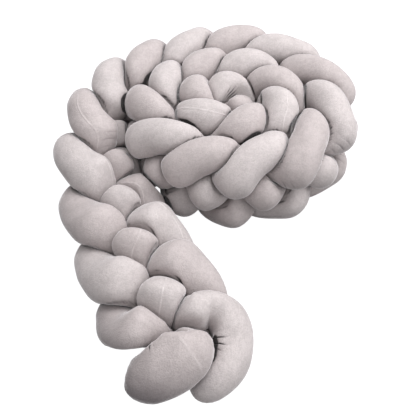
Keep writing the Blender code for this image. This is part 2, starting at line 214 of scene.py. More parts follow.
LINE_STEP = 0.04  # lobes between the points of a strand's middle line
LINE_LOBES = [np.arange(first, last, LINE_STEP) for _, first, last, _ in STRANDS]
LINES = [strand_at(index, lobes) for index, lobes in enumerate(LINE_LOBES)]
for (name, *_), line in zip(STRANDS, LINES):
    print(name, "is", round(float(np.linalg.norm(np.diff(line[:, :3], axis=0), axis=1).sum()), 2), "m long")

# %% [markdown]
# ## How far each tube can swell
# A stuffed tube is round until something stops it. It could be inflated by a cloth simulation, but a plait
# has hundreds of contacts, and each one shows as a crease whose place must match its neighbour's. So every
# ray from a tube's middle is measured instead: it ends where another tube's middle becomes the nearer one,
# at the surface below, or where the rings of its own bend would cross.

# %% Rings and rays
LIMIT_RINGS, LIMIT_SIDES = 14, 36  # rings per lobe and rays per ring at which the limits are measured
WIDEST = 0.060  # the furthest that any skin stands from its middle line
RAY_STEPS = np.linspace(0.003, WIDEST, 30)  # places along a ray at which the nearest strand is sought
OWN_STRETCH = 1.15  # lobes either way that count as the same part of a strand
CONTACT_ROOM = 0.00005  # about 2 x 40 mm x 0.6 mm: the power that keeps these limits 0.6 mm apart
BEND_ROOM = 0.93  # share of the way to a nearby ring's plane that the skin may fill
BEND_RINGS = 6  # rings either way that count as nearby
RINGS_AT_ONCE = 8
LEVEL_RAY = 0.001  # a ray that sinks by less than this share of its length never meets the surface
LEAST_RISE = 1e-9  # keeps a level stretch of a ray from dividing by zero


def rings_of(strand, lobe):
    """Ring centres, headings square to the band's face, the side and face directions that span each ring, and
    the tube radii."""
    face = spine_at(lobe)[2]
    centre, tube = np.split(strand_at(strand, lobe), [3], axis=1)
    ahead = middle_line(strand, lobe + NUDGE) - middle_line(strand, lobe - NUDGE)
    heading = unit(ahead - (ahead * face).sum(1)[:, None] * face)
    return centre, heading, np.cross(face, heading), face, tube[:, 0]


def rays_at(side, face, angle):
    """ray = cos(angle) side + sin(angle) face, for angles of shape (rings, rays)."""
    return np.cos(angle)[..., None] * side[:, None] + np.sin(angle)[..., None] * face[:, None]


def power(points, line):
    """|p|^2 + |q|^2 - 2 p.q - r^2, the least over the line's points q with their tube radii r: two tubes
    press each other flat where this is the same for both."""
    place, tube = line[:, :3], line[:, 3]
    return ((points**2).sum(-1)[:, None] + (place**2).sum(-1) - tube**2 - 2 * points @ place.T).min(1)


def first_crossing(lead):
    """Where each row of values first rises above zero, on a straight line between two steps of the ray."""
    beyond = lead > 0
    first = beyond.argmax(-1)[..., None]
    before = np.maximum(first - 1, 0)
    low = np.take_along_axis(lead, before, -1)
    high = np.take_along_axis(lead, first, -1)
    share = np.clip(-low / np.maximum(high - low, LEAST_RISE), 0, 1)
    crossing = RAY_STEPS[before] + share * (RAY_STEPS[first] - RAY_STEPS[before])
    return np.where(beyond.any(-1), crossing[..., 0], WIDEST)


def contact_limit(strand, lobe, centre, rays):
    """Length of each ray at which another strand's power first comes below its own strand's."""
    limit = np.full(rays.shape[:2], WIDEST)
    own_lobes, own_line = LINE_LOBES[strand], LINES[strand]
    for start in range(0, len(lobe), RINGS_AT_ONCE):
        rings = slice(start, start + RINGS_AT_ONCE)
        low, high = lobe[rings].min(), lobe[rings].max()
        own = (own_lobes > low - OWN_STRETCH) & (own_lobes < high + OWN_STRETCH)
        others = [line for index, line in enumerate(LINES) if index != strand] + [own_line[~own]]
        others = np.concatenate(others)
        middle = np.append(centre[rings].mean(0), 0)
        room = np.linalg.norm(centre[rings] - middle[:3], axis=1).max() + 2 * WIDEST
        others = others[np.linalg.norm((others - middle)[:, :3], axis=1) < room]
        if len(others) == 0:
            continue
        points = centre[rings][:, None, None] + rays[rings][:, :, None] * RAY_STEPS[:, None]
        flat = (points - middle[:3]).reshape(-1, 3)
        lead = power(flat, own_line[own] - middle) - power(flat, others - middle) + CONTACT_ROOM
        limit[rings] = first_crossing(lead.reshape(points.shape[:3]))
    return limit


def floor_limit(centre, rays):
    """Height of the ring's centre over the ray's downward share."""
    down = -rays[..., 2]
    return np.where(down > LEVEL_RAY, centre[:, None, 2] / np.maximum(down, LEVEL_RAY), WIDEST)


def bend_limit(centre, heading, rays):
    """Distance along each ray to the planes of the rings nearby, where it runs towards them."""
    count = len(centre)
    limit = np.full(rays.shape[:2], WIDEST)
    for step in [*range(-BEND_RINGS, 0), *range(1, BEND_RINGS + 1)]:
        other = np.clip(np.arange(count) + step, 0, count - 1)
        ahead = ((centre[other] - centre) * heading[other]).sum(1)[:, None]
        closing = (rays * heading[other][:, None]).sum(-1)
        meets = ahead * closing > 0
        crossing = np.where(meets, ahead / np.where(meets, closing, 1), WIDEST)
        limit = np.minimum(limit, BEND_ROOM * crossing)
    return limit


print("rays measured for each lobe of a strand:", LIMIT_RINGS * LIMIT_SIDES)

# %% [markdown]
# ## Round, pressed, and still full
# Cloth under pressure lies against what presses it and then lifts off in a smooth curve. That is a skin
# stretched like a drum, with springs that pull it out to its free size and a wall it can't pass. The stuffing
# doesn't vanish either: where a tube is pressed it swells elsewhere, so each ring's free size grows until its
# area is right again.

# %% Stuffing
LIFT_OFF = 0.012  # length over which the cloth lifts off what presses it
SLIMMEST, FATTEST = 0.9, 1.4  # limits of a section's free radius, in tube radii
FILL_ROUNDS, FILL_PACE = 14, 0.4  # rounds that bring a section to its stuffing's area, and how fast
DRUM_ROUNDS = 12  # times that the skin is evened out in each of those rounds


def drum(radius, limit, free, around, along):
    """Each radius becomes the mean of its neighbours round the ring and along the tube and of the free
    radius, weighted by 1 / spacing^2 and 1 / lift-off^2, but never more than its limit."""
    pull_round, pull_along, pull_out = 1 / around**2, 1 / along**2, 1 / LIFT_OFF**2
    for _ in range(DRUM_ROUNDS):
        longer = np.concatenate([radius[:1], radius, radius[-1:]])
        beside = pull_round * (np.roll(radius, 1, axis=1) + np.roll(radius, -1, axis=1))
        behind = pull_along * (longer[:-2] + longer[2:])
        mean = (beside + behind + pull_out * free) / (2 * pull_round + 2 * pull_along + pull_out)
        radius = np.minimum(mean, limit)
    return radius


def stuffed_radius(limit, tube, along):
    """The drum's skin, with the free radius times (wanted area / area)^0.4 after each turn of the drum."""
    free = tube.copy()
    turn = 2 * np.pi / LIMIT_SIDES
    radius = np.minimum(limit, tube[:, None])
    for _ in range(FILL_ROUNDS):
        radius = drum(radius, limit, free[:, None], turn * tube[:, None], along)
        area = 0.5 * (radius * np.roll(radius, -1, axis=1)).sum(1) * np.sin(turn)
        free = np.clip(free * (np.pi * tube**2 / area) ** FILL_PACE, SLIMMEST * tube, FATTEST * tube)
        free[1:-1] = (free[:-2] + 2 * free[1:-1] + free[2:]) / 4
    return radius, free


print("a tube may swell to", FATTEST, "of its free radius")

# %% [markdown]
# ## Seams and the cloth's own grid
# Each tube is sewn from one strip, so a seam runs along its whole length and slowly turns as the tube is
# twisted in plaiting. The grid of each skin starts at the seam and is finest beside it: that way the
# cloth's ridge can be real shape. The tables say where round the tube the seam lies, as rows of lobe and
# angle in degrees. 90 degrees is the band's face, which looks up where the band lies flat and inward in the
# coil. Where the photograph shows no seam, its way is a guess.

# %% The seams' tables
SEAMS = {
    "strand_a": np.array((
        (1.0, 97), (1.6, 97), (2.6, 122), (3.8, 97), (4.5, 80), (5.5, 140), (6.5, 180), (22.0, 180),
        (23.5, 36), (25.2, -56), (26.5, -180), (27.2, -180),
    )),
    "strand_b": np.array((
        (0.4, 185), (1.5, 185), (2.2, 88), (2.5, 98), (2.9, 92), (3.6, 70), (4.9, 38), (5.5, 10),
        (6.2, -60), (7.5, -180), (27.4, -180),
    )),
    "strand_c": np.array((
        (-0.4, -80), (3.0, -90), (8.0, -180), (20.5, -180), (21.9, 10), (22.45, -11), (22.65, -28),
        (23.2, -90), (24.5, -180), (27.6, -180),
    )),
    "strand_d": np.array((
        (-0.3, -90), (5.0, -90), (8.0, -180), (28.0, -180),
    )),
}
SIDES = 96  # points round each ring
SEAM_CLOSENESS = 0.5  # how much closer the grid's lines are beside the seam


def seam_angles(name, lobe):
    """The seam's angle round the tube at each lobe, in radians: between two rows, 3u^2-2u^3 of the way at
    share u, so that it never swings past either."""
    lobes, angles = SEAMS[name].T
    row = np.clip(np.searchsorted(lobes, lobe, side="right") - 1, 0, len(lobes) - 2)
    u = np.clip((lobe - lobes[row]) / (lobes[row + 1] - lobes[row]), 0, 1)
    return np.radians(angles[row] + (angles[row + 1] - angles[row]) * u * u * (3 - 2 * u))


def angles_from_seam():
    """2 pi s - closeness sin(2 pi s) for s from -1/2 to 1/2, both ends included."""
    share = np.linspace(-0.5, 0.5, SIDES + 1)
    return 2 * np.pi * share - SEAM_CLOSENESS * np.sin(2 * np.pi * share)


FROM_SEAM = angles_from_seam()
FINEST = float(np.diff(FROM_SEAM).min() * SPINE[:, 4].min())
print("grid lines beside the seam are", round(FINEST * 1000, 2), "mm apart")

# %% [markdown]
# ## Small patches of a tube
# Gathers, a taut fold and the painted shade on the loose end's undersides are small patches of one tube. Each
# could be cut out with an edge, but on cloth they fade. So a row of a table says where a patch is and how
# large, and a bell curve along the tube and round it does the rest.

# %% Patches
def turned_from(angle, side, wide):
    """Turn round the tube from a side, taken the short way, over a width, both in degrees."""
    return (np.mod(np.degrees(angle) - side + 180, 360) - 180) / wide


def patch(lobe, angle, place, side, long, wide):
    """exp(-off^2 - turned^2), with off in lengths of the patch along the tube and turned in widths round
    it."""
    off = (lobe[:, None] - place) / long
    return np.exp(-(off**2) - turned_from(angle, side, wide) ** 2)


print("a patch is down to", round(float(np.exp(-1)), 2), "one length from its middle")

# %% [markdown]
# ## Gathers, and a seam across
# Where a bend squeezes the cloth it gathers in short pleats, and near its end strand_d has a second seam,
# sewn across the tube. Both could be a bump in the material, but they are deep enough to cast shade, so
# they are real shape. The gathers' columns are lobe, angle, lobes long, degrees wide, pleats a lobe and
# depth; the cross seam's are lobe, angle and degrees wide.

# %% Gathers and the cross seam
GATHERS = {
    "strand_a": np.array(((13.1, 300, 0.16, 26, 12, 0.0010),)),
    "strand_b": np.array(((4.9, 70, 0.18, 30, 12, 0.0008), (14.15, 280, 0.16, 26, 12, 0.0010))),
    "strand_c": np.array(((0.25, 66, 0.17, 24, 10, 0.0025), (26.70, 36, 0.12, 24, 20, 0.0028))),
    "strand_d": np.array(((0.04, 76, 0.05, 8, 18, 0.0028), (12.9, 310, 0.20, 30, 12, 0.0009))),
}
PLEAT_SWAY, PLEAT_SWAY_PACE = 0.9, 2.2  # how far and how fast a pleat wavers round the tube
PLEAT_SHARPNESS = 6  # the power that keeps the pleats narrow and the cloth between them full
CROSS_SEAMS = {"strand_d": (0.39, 122, 34)}
CROSS_SEAM_WIDTH = 0.0012
CROSS_SEAM_CUT = 8  # the power that ends it at both sides


def gathers(name, lobe, angle):
    """The sum over the rows of depth (1/2 + cos(2 pi n s + sway) / 2)^6 on the row's patch, with s the lobes
    from its place and n its pleats a lobe."""
    deep = np.zeros(angle.shape)
    for place, side, long, wide, count, depth in GATHERS[name]:
        sway = PLEAT_SWAY * np.sin(PLEAT_SWAY_PACE * turned_from(angle, side, wide))
        wave = (0.5 + 0.5 * np.cos(2 * np.pi * (lobe[:, None] - place) * count + sway)) ** PLEAT_SHARPNESS
        deep += depth * wave * patch(lobe, angle, place, side, long, wide)
    return deep


def cross_seam(name, lobe, angle, along):
    """1 on a seam sewn across the tube, 0 away from it: exp(-off^2) along the tube over (1 + turned^8)."""
    place, side, wide = CROSS_SEAMS.get(name, (0, 0, 1))
    off = (along - np.interp(place, lobe, along))[:, None] / CROSS_SEAM_WIDTH
    cut = 1 + turned_from(angle, side, wide) ** CROSS_SEAM_CUT
    return np.exp(-(off**2)) / cut * (name in CROSS_SEAMS)


print("rows of gathers:", sum(len(rows) for rows in GATHERS.values()))

# %% [markdown]
# ## Rings where they are needed
# The limits are smooth, so they are measured on a coarse grid and read off on a fine one. The fine grid could
# be even, but then a pleat would fall between two rings. So its rings crowd beside the gathers and the cross
# seam, and draw together towards each closed end.

# %% The fine grid
RINGS_PER_LOBE, CAP_RINGS = 33, 12  # rings in a lobe that has no crowd, and rings that round off an end
CROWDING, CROWD_REACH = 2.0, 1.5  # how much denser a crowd is, and how far it goes, in patch lengths
CROSS_SEAM_CROWD = 0.06  # the cross seam's length for this, in lobes
FINE_STEPS = 6000  # steps in which the rings are counted out


def crowds(name):
    """Places and lengths, in lobes, of what needs denser rings: the gathers and a cross seam."""
    rows = GATHERS[name][:, [0, 2]]
    if name in CROSS_SEAMS:
        rows = np.vstack([rows, (CROSS_SEAMS[name][0], CROSS_SEAM_CROWD)])
    return rows.T


def ring_lobes(name, first, last, cap):
    """Steps along the body that are even but for a crowd of rings beside each gather, and steps of
    cap (1 - cos q) for q from 0 to a right angle at each end."""
    quarter = np.linspace(0, np.pi / 2, CAP_RINGS, endpoint=False)
    start = first + cap * (1 - np.cos(quarter))
    even = np.linspace(first + cap, last - cap, FINE_STEPS)
    places, lengths = crowds(name)
    beside = (even[:, None] - places) / (CROWD_REACH * lengths)
    crowd = 1 + CROWDING * np.exp(-(beside**2)).sum(1)
    count = np.cumsum(crowd) * (even[1] - even[0]) * RINGS_PER_LOBE
    body = np.interp(np.linspace(count[0], count[-1], int(count[-1])), count, even)
    return np.concatenate([start, body, last - cap * (1 - np.cos(quarter[::-1]))])


def lengths_along(centre):
    """Distance along the line up to each ring."""
    return np.concatenate([[0], np.cumsum(np.linalg.norm(np.diff(centre, axis=0), axis=1))])


def read_off(limit, coarse_lobes, lobe, angle):
    """The limits, read along the tube by the smooth curve and round it by straight lines between rays."""
    along = smooth_rows(coarse_lobes, limit, lobe)
    place = np.mod(angle, 2 * np.pi) / (2 * np.pi) * LIMIT_SIDES
    low = np.floor(place).astype(int) % LIMIT_SIDES
    share = place - np.floor(place)
    ring = np.arange(len(lobe))[:, None]
    return along[ring, low] * (1 - share) + along[ring, (low + 1) % LIMIT_SIDES] * share


print("rings a lobe:", RINGS_PER_LOBE, "and in a crowd about", round(RINGS_PER_LOBE * (1 + CROWDING)))

# %% [markdown]
# ## Dents, creases and painted shade
# The fibre lies unevenly, which a few slow waves show. Where two tubes part, the cloth is drawn into the gap.
# And the undersides of the loose end are darker in colour: that is painted shade. The dents are added after
# the contacts are measured, so two skins that press on each other may cross, mostly by less than a millimetre
# and at worst by about three.

# %% Dents, creases and painted shade
DENT = 0.0007
DENT_LENGTH = 1.7  # metres of tube over which the waves are counted
DENT_WAVES = ((9, 1), (14, 2), (21, 3), (31, 1), (43, 4))  # waves in that length, and waves round the tube
DENT_SHIFT = 2.1  # radians between one strand's dents and the next one's
CREASE = 0.0030  # how deep the cloth is drawn in where two tubes part
CREASE_OUTSIDE = 0.0022  # the open gap over which a crease fades
CREASE_START, CREASE_INSIDE = 0.005, 0.008  # how far the skin is pressed in before it fades, and over what
CREASE_FADE = 0.004  # how near to WIDEST a contact stops counting, as no tube is met there
PAINTED_SHADE_ROWS = {  # painted shade on the loose end's undersides: lobe, angle, lobes long, degrees wide, share
    "strand_b": (1.35, 10, 0.40, 50, 0.5),
    "strand_c": (-0.30, 110, 0.22, 45, 0.5),
    "strand_d": (-0.10, 190, 0.35, 65, 1.0),
}
NO_PAINTED_SHADE = (0, 0, 1, 1, 0)


def dents(along, angle, strand):
    """Sum over a few waves of sin(2 pi k s / length + m angle + phase), over the root of their number,
    where s is the length along and k, m the wave."""
    turns = [2 * np.pi * k * along[:, None] / DENT_LENGTH + m * angle for k, m in DENT_WAVES]
    waves = [np.sin(turn + DENT_SHIFT * strand + k) for turn, (k, _) in zip(turns, DENT_WAVES)]
    return DENT * np.sum(waves, axis=0) / len(waves) ** 0.5


def creases(contact, settled, free):
    """1 along the line where two tubes part, 0 away from it: a bell curve of the open gap (limit - radius)
    times one of how far the skin is pressed in (free radius - limit) beyond its start. Rays that meet nothing
    have none."""
    gap = np.maximum(contact - settled, 0) / CREASE_OUTSIDE
    pressed = np.maximum(free[:, None] - contact - CREASE_START, 0) / CREASE_INSIDE
    touched = np.clip((WIDEST - contact) / CREASE_FADE, 0, 1)
    return touched * np.exp(-(gap**2) - pressed**2)


def painted_shade(name, lobe, angle):
    """Painted shade on the loose end's undersides, where shade falls: the row's share of its patch."""
    place, side, long, wide, share = PAINTED_SHADE_ROWS.get(name, NO_PAINTED_SHADE)
    return share * patch(lobe, angle, place, side, long, wide)


print("strands with laid pile:", sorted(PAINTED_SHADE_ROWS))

# %% [markdown]
# ## Cloth drawn taut
# Inside strand_c's sharp bend at the loose end the rings fan together, and the skin would fold into the fan.
# Real cloth is drawn straight across such a fold. So each point there moves, again and again, towards the
# middle of its neighbours.

# %% Taut cloth
TAUT = {"strand_c": (0.63, 35, 0.12, 34)}  # lobe, angle, lobes long, degrees wide
TAUT_ROUNDS = 150
TAUT_PULL = 2  # times the patch, up to a whole step
TAUT_LEAST = 0.001  # a ring whose share stays below this isn't moved


def drawn_taut(points, lobe, angle, row):
    """The points, changed in place: each moves towards the mean of its four neighbours by a share that fades
    with the row's patch."""
    share = np.minimum(1, TAUT_PULL * patch(lobe, angle, *row))[..., None]
    rings = np.flatnonzero(share.max((1, 2)) > TAUT_LEAST)
    rings = slice(max(rings[0] - 1, 0), rings[-1] + 2)
    cloth, share = points[rings], share[rings]
    for _ in range(TAUT_ROUNDS):
        beside = np.roll(cloth, 1, axis=1) + np.roll(cloth, -1, axis=1)
        cloth[1:-1] += share[1:-1] * ((beside[1:-1] + cloth[:-2] + cloth[2:]) / 4 - cloth[1:-1])
    return points


print("strands with a taut fold:", sorted(TAUT))

# %% [markdown]
# ## One strand's whole skin
# Everything above comes together here: the pressed tube, its dents, a seam that stands up a little between
# two faint hollows, gathers and creases, and the ends rounded off and drawn together in pleats.

# %% Whole skin
RIDGE, RIDGE_WIDTH = 0.0007, 0.0015  # how far a seam stands up, and its half width
FURROW, FURROW_WIDTH = 0.0006, 0.005  # the faint hollow that it stands in
END_PLEATS, PLEAT_DEPTH = 13, 0.10  # pleats round a closed end, and their depth as a share of the radius
PACE_STEP = 0.2  # lobes over which a strand's length per lobe is measured at an end


def pressed_tube(strand):
    """On the coarse grid: its lobes, how far each ray is from another tube, the settled radii, and each
    ring's free radius."""
    _, first, last, _ = STRANDS[strand]
    coarse = np.linspace(first, last, int((last - first) * LIMIT_RINGS))
    centre, heading, side, face, tube = rings_of(strand, coarse)
    rays = rays_at(side, face, np.tile(np.arange(LIMIT_SIDES) * 2 * np.pi / LIMIT_SIDES, (len(coarse), 1)))
    contact = contact_limit(strand, coarse, centre, rays)
    limit = np.minimum(contact, bend_limit(centre, heading, rays))
    limit = np.minimum(limit, floor_limit(centre, rays))
    settled, free = stuffed_radius(limit, tube, np.gradient(lengths_along(centre))[:, None])
    return coarse, contact, settled, free


def closed_off(radius, share):
    """Towards an end, at a share of a tube radius from it: times sqrt(1 - (1 - share)^2), and pleated by up
    to a tenth."""
    share = np.clip(share, 0, 1)
    waves = 1 + np.cos(END_PLEATS * FROM_SEAM[None, :-1])
    pleats = 1 - PLEAT_DEPTH * ((1 - share) ** 2)[:, None] * waves / 2
    return radius * np.sqrt(1 - (1 - share) ** 2)[:, None] * pleats


def skin_of(strand):
    """A dict of the strand's grid: its points and two end points, each ring's length along and tube radius,
    and for each point the gathers' depth, the crease, the painted shade on the undersides and the cross seam."""
    name, first, last, _ = STRANDS[strand]
    step = np.diff(middle_line(strand, np.array([first, first + PACE_STEP])), axis=0)
    pace = np.linalg.norm(step) / PACE_STEP
    cap = spine_at(np.array([first]))[3][0] / pace
    coarse, contact, settled, free = pressed_tube(strand)
    lobe = ring_lobes(name, first, last, cap)[1:-1]
    centre, _, side, face, tube = rings_of(strand, lobe)
    angle = seam_angles(name, lobe)[:, None] + FROM_SEAM[None, :-1]
    rays = rays_at(side, face, angle)
    radius = read_off(settled, coarse, lobe, angle)
    free = smooth_rows(coarse, free[:, None], lobe)[:, 0]
    crease = creases(read_off(contact, coarse, lobe, angle), radius, free)
    along = lengths_along(centre)
    gather = gathers(name, lobe, angle)
    crossing = cross_seam(name, lobe, angle, along)
    off_seam = FROM_SEAM[None, :-1] * tube[:, None]
    ridge = RIDGE * np.exp(-((off_seam / RIDGE_WIDTH) ** 2))
    furrow = FURROW * np.exp(-((off_seam / FURROW_WIDTH) ** 2))
    radius = radius + dents(along, FROM_SEAM[None, :-1], strand)
    radius = radius + ridge - furrow
    radius = radius - gather - CREASE * crease + RIDGE * crossing
    ends = middle_line(strand, np.array([first, last]))
    from_first = along + np.linalg.norm(centre[0] - ends[0])
    from_last = along[-1] - along + np.linalg.norm(centre[-1] - ends[1])
    for reached in (from_first, from_last):
        radius = closed_off(radius, reached / tube)
    radius = np.minimum(radius, floor_limit(centre, rays))
    points = centre[:, None] + rays * radius[..., None]
    if name in TAUT:
        points = drawn_taut(points, lobe, angle, TAUT[name])
    return {
        "points": points,
        "ends": ends,
        "along": along,
        "tube": tube,
        "gather": gather,
        "crease": crease,
        "painted_shade": painted_shade(name, lobe, angle),
        "cross_seam": crossing,
    }


print("a seam stands", RIDGE * 1000, "mm high")

# %% [markdown]
# ## From a grid to a mesh
# The grid closes round the tube and ends in a point at each end. Its faces are written straight into the
# mesh, and so is a UV map in metres, with the seam at u = 0, plus a few numbers at each point for the pile
# to read.

# %% Grid to mesh
POINT_VALUES = ("gather", "crease", "painted_shade", "cross_seam")


def grid_faces(rings):
    """Four corners for each square between two rings, then three for each triangle at the two ends."""
    ring = np.arange(rings - 1)[:, None] * SIDES
    here, after = np.arange(SIDES), (np.arange(SIDES) + 1) % SIDES
    squares = np.stack([ring + here, ring + after, ring + after + SIDES, ring + here + SIDES], axis=-1)
    first_pole, last_pole = rings * SIDES, rings * SIDES + 1
    top = (rings - 1) * SIDES
    first = np.stack([np.full(SIDES, first_pole), after, here], axis=-1)
    last = np.stack([np.full(SIDES, last_pole), top + here, top + after], axis=-1)
    return squares.reshape(-1, 4), np.concatenate([first, last])


def grid_uvs(skin):
    """u = angle from the seam times the tube's radius, v = length along, at each corner of each face."""
    u = FROM_SEAM[None, :] * skin["tube"][:, None]
    v = np.broadcast_to(skin["along"][:, None], u.shape)
    uv = np.stack([u, v], axis=-1)
    squares = np.stack([uv[:-1, :-1], uv[:-1, 1:], uv[1:, 1:], uv[1:, :-1]], axis=2).reshape(-1, 2)
    middle = (uv[:, :-1] + uv[:, 1:]) / 2
    first = np.stack([middle[0], uv[0, 1:], uv[0, :-1]], axis=1).reshape(-1, 2)
    last = np.stack([middle[-1], uv[-1, :-1], uv[-1, 1:]], axis=1).reshape(-1, 2)
    return np.concatenate([squares, first, last])


def fill_mesh(mesh, points, squares, triangles):
    """Writes points, corners and faces as whole arrays."""
    corners = np.concatenate([squares.ravel(), triangles.ravel()]).astype(np.int32)
    starts = np.concatenate([np.arange(len(squares)) * 4, len(squares) * 4 + np.arange(len(triangles)) * 3])
    mesh.vertices.add(len(points))
    mesh.vertices.foreach_set("co", points.astype(np.float32).ravel())
    mesh.loops.add(len(corners))
    mesh.loops.foreach_set("vertex_index", corners)
    mesh.polygons.add(len(starts))
    mesh.polygons.foreach_set("loop_start", starts.astype(np.int32))
    mesh.update(calc_edges=True)
    mesh.validate()
    mesh.shade_smooth()


def with_poles(values):
    """The grid's values as one column, with the mean of the first and last ring for the two end points."""
    poles = [values[0].mean(0)[None], values[-1].mean(0)[None]]
    return np.concatenate([values.reshape(-1, *values.shape[2:]), *poles])


def add_skin(name, skin):
    """The strand's object, with its UV map and its values at each point."""
    mesh = bpy.data.meshes.new(name)
    squares, triangles = grid_faces(len(skin["points"]))
    fill_mesh(mesh, np.concatenate([skin["points"].reshape(-1, 3), skin["ends"]]), squares, triangles)
    uv = mesh.uv_layers.new(name="cloth")
    uv.data.foreach_set("uv", grid_uvs(skin).astype(np.float32).ravel())
    for label in POINT_VALUES:
        attribute = mesh.attributes.new(label, "FLOAT", "POINT")
        attribute.data.foreach_set("value", with_poles(skin[label]).astype(np.float32).ravel())
    strand_object = bpy.data.objects.new(name, mesh)
    bpy.context.scene.collection.objects.link(strand_object)
    return strand_object


pieces = {}
for index, (node, _, _, finish) in enumerate(STRANDS):
    skin = skin_of(index)
    piece = add_skin(node + "_velvet", skin)
    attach(piece, "root")
    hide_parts(node)
    pieces[node] = piece
    print(piece.name, "has", len(piece.data.polygons), "faces on", round(float(skin["along"][-1]), 2), "m")

# %% [markdown]
# ## Velvet
# Velvet is a short dense pile. Where it lies towards the eye it looks deep, where it lies away it looks pale,
# and its edges glow, because the tips of the pile catch light from behind. A sheen that grows where the cloth
# turns away does the glow. The rest is a node group that both finishes share: soft patches where the pile was
# brushed, fine grain, a pale line along the sewn seams that is paler pile with a painted highlight on its
# ridge, painted shade on the loose end's undersides, and painted shade in gathers and creases.

# %% Node helpers
def add_node(tree, kind, **settings):
    """A new node with the given settings."""
    made = tree.nodes.new(kind)
    for setting, value in settings.items():
        setattr(made, setting, value)
    return made


def feed(tree, node, values):
    """Links sockets and sets plain values on a node's inputs, by name or number."""
    for key, value in values.items():
        socket = node.inputs[key]
        if isinstance(value, bpy.types.NodeSocket):
            tree.links.new(value, socket)
        else:
            socket.default_value = value
    return node


def calculated(tree, operation, *values):
    """The operation's result on the values, in their order."""
    made = add_node(tree, "ShaderNodeMath", operation=operation)
    return feed(tree, made, dict(enumerate(values))).outputs[0]


def noise(tree, place, scale, detail, roughness=0.5):
    """Noise from 0 to 1 of a place, with scale features a metre."""
    made = add_node(tree, "ShaderNodeTexNoise")
    feed(tree, made, {"Vector": place, "Scale": scale, "Detail": detail, "Roughness": roughness})
    return made.outputs["Fac"]


def stepped(tree, value, low, high):
    """0 below low, 1 above high, smooth between."""
    made = add_node(tree, "ShaderNodeMapRange", interpolation_type="SMOOTHSTEP")
    return feed(tree, made, {"Value": value, "From Min": low, "From Max": high}).outputs["Result"]


def blended(tree, share, first, second, kind="MIX"):
    """The first colour, and by the share the second laid over it in the way of its kind."""
    made = add_node(tree, "ShaderNodeMix", data_type="RGBA", blend_type=kind)
    feed(tree, made, {0: share, 6: first, 7: second})
    return made.outputs[2]


def point_value(tree, label):
    """One of the numbers that the mesh holds at each point."""
    return add_node(tree, "ShaderNodeAttribute", attribute_name=label).outputs["Fac"]


def seen_by_camera(tree):
    """1 for what the camera sees, 0 for what lights the rest."""
    return add_node(tree, "ShaderNodeLightPath").outputs["Is Camera Ray"]


print("node helpers ready")

# %% The pile's numbers
PATCH_SCALE, STROKE_SCALE, GRAIN_SCALE, WEAR_SCALE = 34, 130, 400, 60  # features a metre
PATCH_SHARE, STROKE_SHARE, GRAIN_SHARE = 0.5, 0.5, 1.0  # what each adds to the brushing
BRUSHED = (0.78, 1.22)  # their sum where the pile isn't brushed at all, and where it wholly is
SEAM_LINE = (0.0003, 0.0016)  # metres from the seam where its pale line, paler pile with a painted highlight, is full, and where it ends
WEAR = (0.3, 0.6)  # noise where the line is worn off, and where it is whole
PLEAT = (0.0002, 0.0014)  # depth of a gather where its painted shade starts, and where it is full
CREASED = (0.1, 0.65)  # the same for the crease's value, where painted shade darkens the crease
STITCHES = 1600.0  # radians a metre along the seam, a stitch every 3.9 mm
STITCH_HEIGHT, SEAM_HEIGHT, GRAIN_HEIGHT, STROKE_HEIGHT = 0.12, 0.2, 1.8, 0.7  # millimetres
ROUGHNESS, BRUSHED_GLOSS = 0.95, -0.12  # of unbrushed pile, and what brushing adds
PILE_INPUTS = (
    ("Pile Colour", "NodeSocketColor", (0.6, 0.55, 0.53, 1)),
    ("Brushed Colour", "NodeSocketColor", (0.5, 0.45, 0.43, 1)),
    ("Seam Colour", "NodeSocketColor", (0.8, 0.76, 0.74, 1)),
    ("Brushing", "NodeSocketFloat", 0.5),
    ("Seam Paleness", "NodeSocketFloat", 0.5),
    ("Pleat Shade", "NodeSocketColor", (0.25, 0.2, 0.2, 1)),
    # painted shade for the loose end's undersides
    ("Painted Shade Tint", "NodeSocketColor", (0.34, 0.33, 0.35, 1)),
)
PILE_OUTPUTS = (
    ("Colour", "NodeSocketColor"),
    ("Roughness", "NodeSocketFloat"),
    ("Height", "NodeSocketFloat"),
)
print("the pile has", len(PILE_INPUTS), "inputs and", len(PILE_OUTPUTS), "outputs")


